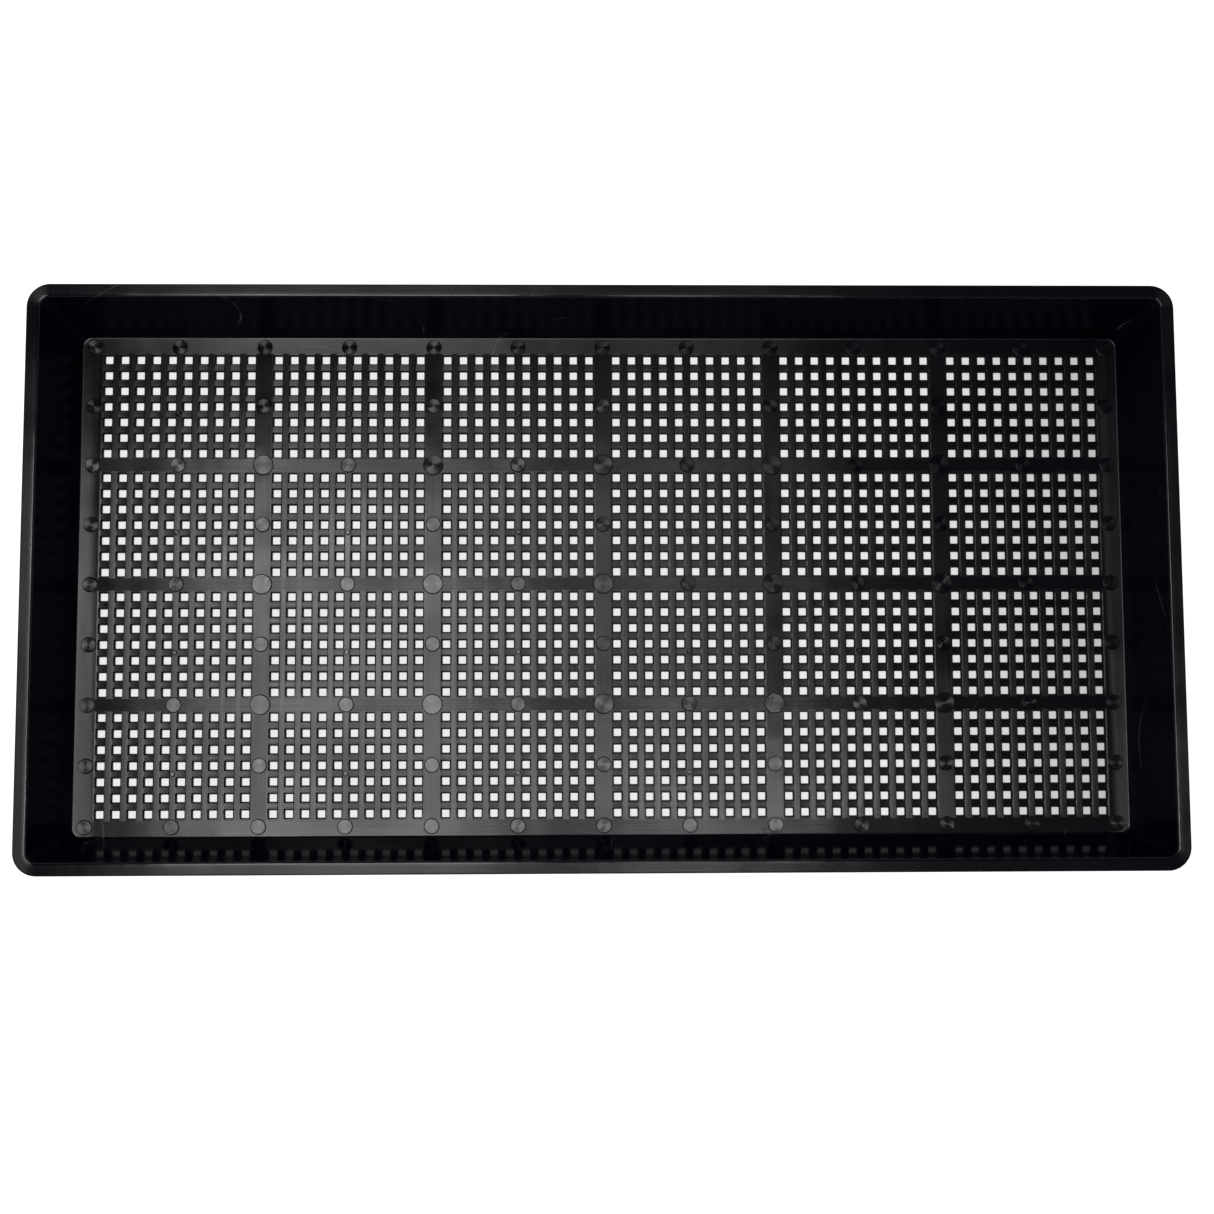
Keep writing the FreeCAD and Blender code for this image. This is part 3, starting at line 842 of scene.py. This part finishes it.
def make_panel():
    """One mesh panel, made about the origin: a field of cells trimmed to the panel's outline."""
    first_along = -(HOLES_ALONG - 1) / 2 * HOLE_PITCH
    first_across = -(HOLES_ACROSS - 1) / 2 * HOLE_PITCH
    panel = make_mesh_cell(first_along, first_across)
    repeat(panel, HOLES_ALONG, (HOLE_PITCH, 0, 0))
    repeat(panel, HOLES_ACROSS, (0, HOLE_PITCH, 0))
    edit(panel)
    for axis, half in (((1, 0, 0), PANEL_LENGTH / 2), ((0, 1, 0), PANEL_WIDTH / 2)):
        for sign in (-1, 1):
            bpy.ops.mesh.select_all(action="SELECT")
            place = [part * sign * half for part in axis]
            outwards = [part * sign for part in axis]
            bpy.ops.mesh.bisect(plane_co=place, plane_no=outwards, clear_outer=True,
                                threshold=CUT_THRESHOLD)
    for distance, drop in SHOULDER[1:-1]:
        lift_row(panel, distance, drop)
    pick_points(panel, lambda place: near(abs(place.x), PANEL_LENGTH / 2)
                or near(abs(place.y), PANEL_WIDTH / 2))
    bpy.ops.transform.resize(value=(1, 1, 0), center_override=(0, 0, FLOOR_TOP))

    # upright sides, then the underside between the sides and all the holes
    pick_edges(panel, on_panel_edge)
    draw_edges(MESH_BOTTOM - FLOOR_TOP)
    pick_edges(panel, lambda a, b: near(a.z, MESH_BOTTOM) and near(b.z, MESH_BOTTOM))
    bpy.ops.mesh.fill()
    face_outwards()
    leave_edit()
    smooth(panel, 40)
    even = panel.modifiers.new("even_shading", "WEIGHTED_NORMAL")
    even.keep_sharp = True
    bpy.ops.object.modifier_apply(modifier=even.name)
    return panel


def on_panel_edge(first, second):
    """True for an edge that lies on the panel's outline."""
    on_end = near(abs(first.x), PANEL_LENGTH / 2) and near(first.x, second.x)
    on_side = near(abs(first.y), PANEL_WIDTH / 2) and near(first.y, second.y)
    return on_end or on_side


def make_mesh_panels():
    """Twenty-four panels from one model."""
    model = make_panel()
    for row in range(PANEL_ROWS):
        for column in range(PANEL_COLUMNS):
            name = f"mesh_row{row + 1}_col{column + 1}"
            panel = bpy.data.objects.new(name, model.data.copy())
            panel.data.name = name
            bpy.context.collection.objects.link(panel)
            along = panel_middle(column, PANEL_COLUMNS, PANEL_PITCH_ALONG)
            across = panel_middle(row, PANEL_ROWS, PANEL_PITCH_ACROSS)
            panel.data.transform(Matrix.Translation((along, across, 0)))
            hang(panel, "mesh_satin_black", f"mesh_panel_row{row + 1}_col{column + 1}")
    bpy.data.objects.remove(model)


# ---------------------------------------------------------------- floor: ejector marks

# Radius, height and number of turned rings of each size of mark.
LARGE_MARK = (5.05 * MM, 0.55 * MM, 7)
MEDIUM_MARK = (3.8 * MM, 0.55 * MM, 5)
SMALL_MARK = (1.45 * MM, 0.35 * MM, 2)
MARK_EDGE_WIDTH = 0.48 * MM
RING_DEPTH = 0.012 * MM
# In degrees.
MOST_TILT = 1.5


def make_pad_model(radius, height, rings):
    """A round ejector mark: a low disc with a sloping edge and turned rings on its face."""
    deselect_all()
    bpy.ops.mesh.primitive_circle_add(vertices=32, radius=radius, fill_type="NGON",
                                      location=(0, 0, 0))
    pad = named("pad_model")
    edit(pad, "FACE")
    step(MARK_EDGE_WIDTH, height)
    face_radius = radius - MARK_EDGE_WIDTH
    ring_width = face_radius / (rings + 0.5)
    for _ in range(rings):
        step(ring_width / 2, -RING_DEPTH)
        step(ring_width / 2, RING_DEPTH)
    bpy.ops.mesh.poke()
    pick_edges(pad, lambda a, b: near(a.z, 0) and near(b.z, 0))
    bpy.ops.mesh.edge_face_add()
    face_outwards()
    leave_edit()
    turning = pad.data.uv_layers.new(name="turning")
    for corner, point in zip(turning.data, pad.data.loops):
        place = pad.data.vertices[point.vertex_index].co
        corner.uv = (place.x / MM, place.y / MM)
    return pad


def make_pads(name, node, size, spots, dice):
    """All ejector marks of one size, each tilted as a worn pin leaves it, but for one new pin."""
    model = make_pad_model(*size)
    pads = []
    for along, across in spots:
        pad = bpy.data.objects.new("pad", model.data.copy())
        bpy.context.collection.objects.link(pad)
        tilt_axis = Matrix.Rotation(dice.uniform(0, math.tau), 3, "Z") @ Vector((1, 0, 0))
        worn = dice.uniform(0.0, MOST_TILT)
        new_pin = near(along, -2 * PANEL_PITCH_ALONG) and near(across, 0)
        tilt = Matrix.Rotation(math.radians(0.0 if new_pin else worn), 4, tilt_axis)
        pad.data.transform(Matrix.Translation((along, across, FLOOR_TOP)) @ tilt)
        pads.append(pad)
    bpy.data.objects.remove(model)
    piece = join(name, pads)
    smooth(piece, 30)
    finish_piece(piece, pad_black, "pad_turned_black", node)


def make_all_pads():
    """Marks at every half panel along the wide bars and the border, and one in each panel."""
    dice = random.Random(20)
    large = []
    medium = []
    small = []
    for step_along in range(-PANEL_COLUMNS, PANEL_COLUMNS + 1):
        for step_across in range(-PANEL_ROWS, PANEL_ROWS + 1):
            on_cross_bar = (step_along - PANEL_COLUMNS) % 2 == 0
            on_long_bar = (step_across - PANEL_ROWS) % 2 == 0
            inside = abs(step_along) < PANEL_COLUMNS and abs(step_across) < PANEL_ROWS
            spot = (step_along * PANEL_PITCH_ALONG / 2, step_across * PANEL_PITCH_ACROSS / 2)
            if on_cross_bar and on_long_bar and inside:
                large.append(spot)
            elif on_cross_bar or on_long_bar:
                medium.append(spot)
            else:
                small.append((spot[0], spot[1] - HOLE_PITCH / 2))
    make_pads("ejector_marks_large", "ejector_pads_large", LARGE_MARK, large, dice)
    make_pads("ejector_marks_medium", "ejector_pads_medium", MEDIUM_MARK, medium, dice)
    make_pads("ejector_marks_small", "ejector_pads_small", SMALL_MARK, small, dice)


# ---------------------------------------------------------------- table, light and camera

# The table's glow as it is looked at: beside the tray, and through the mesh at its left and right,
# where the lower glow is a painted shadow of the tray, deeper to the right.
GLOW_BESIDE = 0.95
GLOW_IN_PAINTED_SHADOW_LEFT = 0.56
GLOW_IN_PAINTED_SHADOW_RIGHT = 0.27
SEEN_GREY = 0.8
# The table's glow as the tray mirrors it.
MIRRORED_BESIDE = 0.8
MIRRORED_IN_PAINTED_SHADE = 0.05
MIRRORED_GREY = 0.2
# Its mirrored glow rises from just within the rim's outline to well past it; the low glow near the
# tray is painted shade round its foot.
WITHIN_RIM = 5 * MM
PAST_RIM = 60 * MM
TABLE_SIZE = 12
BACKDROP_GLOW = 1.35
LAMP_HEIGHT = 1.5


def glow_and_matte(tree, glow, grey):
    """A shader that both glows and takes light, as a lit table top does."""
    light = add_node(tree, "ShaderNodeEmission", None, Strength=glow)
    matte = add_node(tree, "ShaderNodeBsdfDiffuse", None, Color=(grey, grey, grey, 1.0))
    both = tree.nodes.new("ShaderNodeAddShader")
    tree.links.new(light.outputs[0], both.inputs[0])
    tree.links.new(matte.outputs[0], both.inputs[1])
    return both.outputs[0]


def choose_shader(tree, share, first, second):
    """The first shader where the share is 0, and the second where it is 1."""
    choice = tree.nodes.new("ShaderNodeMixShader")
    tree.links.new(share, choice.inputs[0])
    tree.links.new(first, choice.inputs[1])
    tree.links.new(second, choice.inputs[2])
    return choice.outputs[0]


def seen_or_reflected(tree, seen, reflected):
    """One shader for what is looked at, and another for what lights and mirrors it."""
    ray = tree.nodes.new("ShaderNodeLightPath")
    return choose_shader(tree, ray.outputs["Is Camera Ray"], reflected, seen)


def outside_of(tree, from_middle, half_length, half_width, end_length, end_width):
    """0 within one rectangle about the middle, 1 outside a larger one, and a ramp between them."""
    past_end = ramp(tree, from_middle[0], half_length, end_length, 0.0, 1.0)
    past_side = ramp(tree, from_middle[1], half_width, end_width, 0.0, 1.0)
    return larger_of(tree, past_end, past_side)


def make_table():
    """A wide white table top, overexposed round the tray, with a painted shadow under its mesh
    and, as the tray mirrors it, painted shade round its foot.

    It is clear from below, so that the tray's underside can be looked at.
    """
    material = bpy.data.materials.new("table_white")
    material.use_nodes = True
    tree = material.node_tree
    tree.nodes.clear()
    output = tree.nodes.new("ShaderNodeOutputMaterial")
    place = own_place(tree)
    from_middle = parts_of(tree, vector_from(tree, "ABSOLUTE", place))

    beside = outside_of(tree, from_middle, MESH_HALF_LENGTH, MESH_HALF_WIDTH,
                        HALF_LENGTH, HALF_WIDTH)
    # painted shadow: under the mesh the table glows less than beside the tray, and less again to
    # the right
    under = ramp(tree, parts_of(tree, place)[0], 0.6 * MESH_HALF_LENGTH, MESH_HALF_LENGTH,
                 GLOW_IN_PAINTED_SHADOW_LEFT, GLOW_IN_PAINTED_SHADOW_RIGHT)
    seen = glow_and_matte(tree, blend(tree, beside, under, GLOW_BESIDE), SEEN_GREY)

    # painted shade: as the tray mirrors it, the table is dim round the tray's foot and bright well
    # clear of it
    clear_of_painted_shade = outside_of(tree, from_middle, HALF_LENGTH - WITHIN_RIM,
                               HALF_WIDTH - WITHIN_RIM, HALF_LENGTH + PAST_RIM,
                               HALF_WIDTH + PAST_RIM)
    mirrored_glow = blend(tree, clear_of_painted_shade, MIRRORED_IN_PAINTED_SHADE, MIRRORED_BESIDE)
    top_side = seen_or_reflected(tree, seen, glow_and_matte(tree, mirrored_glow, MIRRORED_GREY))

    from_below = tree.nodes.new("ShaderNodeNewGeometry").outputs["Backfacing"]
    through = add_node(tree, "ShaderNodeBsdfTransparent").outputs[0]
    table_top = choose_shader(tree, from_below, top_side, through)
    tree.links.new(table_top, output.inputs["Surface"])
    deselect_all()
    bpy.ops.mesh.primitive_plane_add(size=TABLE_SIZE, location=(0, 0, -0.2 * MM))
    table = named("table")
    table.data.materials.append(material)


def make_softbox(name, middle, size, power_per_area):
    """A rectangular lamp that shines straight down."""
    lamp = bpy.data.lights.new(name, "AREA")
    lamp.shape = "RECTANGLE"
    lamp.size, lamp.size_y = size
    lamp.energy = power_per_area * size[0] * size[1]
    holder = bpy.data.objects.new(name, lamp)
    holder.location = middle
    bpy.context.collection.objects.link(holder)


def make_room():
    """A room with a dim ceiling and pale low walls, and a white backdrop for what is looked at."""
    world = bpy.data.worlds.new("dim_room")
    world.use_nodes = True
    tree = world.node_tree
    tree.nodes.clear()
    output = tree.nodes.new("ShaderNodeOutputWorld")
    white = add_node(tree, "ShaderNodeBackground", None, Strength=BACKDROP_GLOW)
    direction = add_node(tree, "ShaderNodeTexCoord").outputs["Generated"]
    low_walls, ceiling = 0.8, 0.03
    brightness = ramp(tree, parts_of(tree, direction)[2], 0.1, 0.5, low_walls, ceiling)
    room = add_node(tree, "ShaderNodeBackground", None, Color=(0.88, 0.94, 1.0, 1.0),
                    Strength=brightness)
    backdrop = seen_or_reflected(tree, white.outputs[0], room.outputs[0])
    tree.links.new(backdrop, output.inputs["Surface"])
    bpy.context.scene.world = world


def make_lights():
    """The room, a softbox and a bulb over the tray's left half, and smaller lamps to the right."""
    make_room()
    make_softbox("main_softbox", (-0.315, -0.02, LAMP_HEIGHT), (0.45, 0.68), 17.5)
    make_softbox("bulb", (-0.4, 0.17, LAMP_HEIGHT - 10 * MM), (0.045, 0.045), 160.0)
    make_softbox("front_softbox", (0.105, -0.26, LAMP_HEIGHT), (0.135, 0.45), 20.0)
    make_softbox("back_softbox", (0.105, 0.2, LAMP_HEIGHT), (0.135, 0.46), 3.5)
    make_softbox("small_lamp", (0.256, -0.12, LAMP_HEIGHT), (0.05, 0.08), 130.0)
    make_softbox("side_softbox", (0.5, -0.32, LAMP_HEIGHT), (0.42, 0.32), 0.7)


def make_camera():
    """A camera over the tray's middle, a little to the front, looking almost straight down."""
    camera = bpy.data.cameras.new("camera")
    camera.sensor_width = 36.0
    camera.lens = 52.54
    holder = bpy.data.objects.new("camera", camera)
    holder.location = (-0.01592, -0.09072, 0.85947)
    holder.rotation_euler = [math.radians(degrees) for degrees in (5.292, -1.164, -0.222)]
    bpy.context.collection.objects.link(holder)
    bpy.context.scene.camera = holder


def dress_cad_nodes():
    """The nodes whose shape is kept get the rim's finish."""
    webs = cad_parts["stacking_webs"]
    for index in range(len(webs.material_slots)):
        webs.material_slots[index].material = rim_black


floor_border = make_rim_and_walls()
make_border(floor_border)
make_bars()
make_mesh_panels()
make_all_pads()
dress_cad_nodes()
make_table()
make_lights()
make_camera()
bpy.context.scene.view_settings.view_transform = "Standard"

deselect_all()
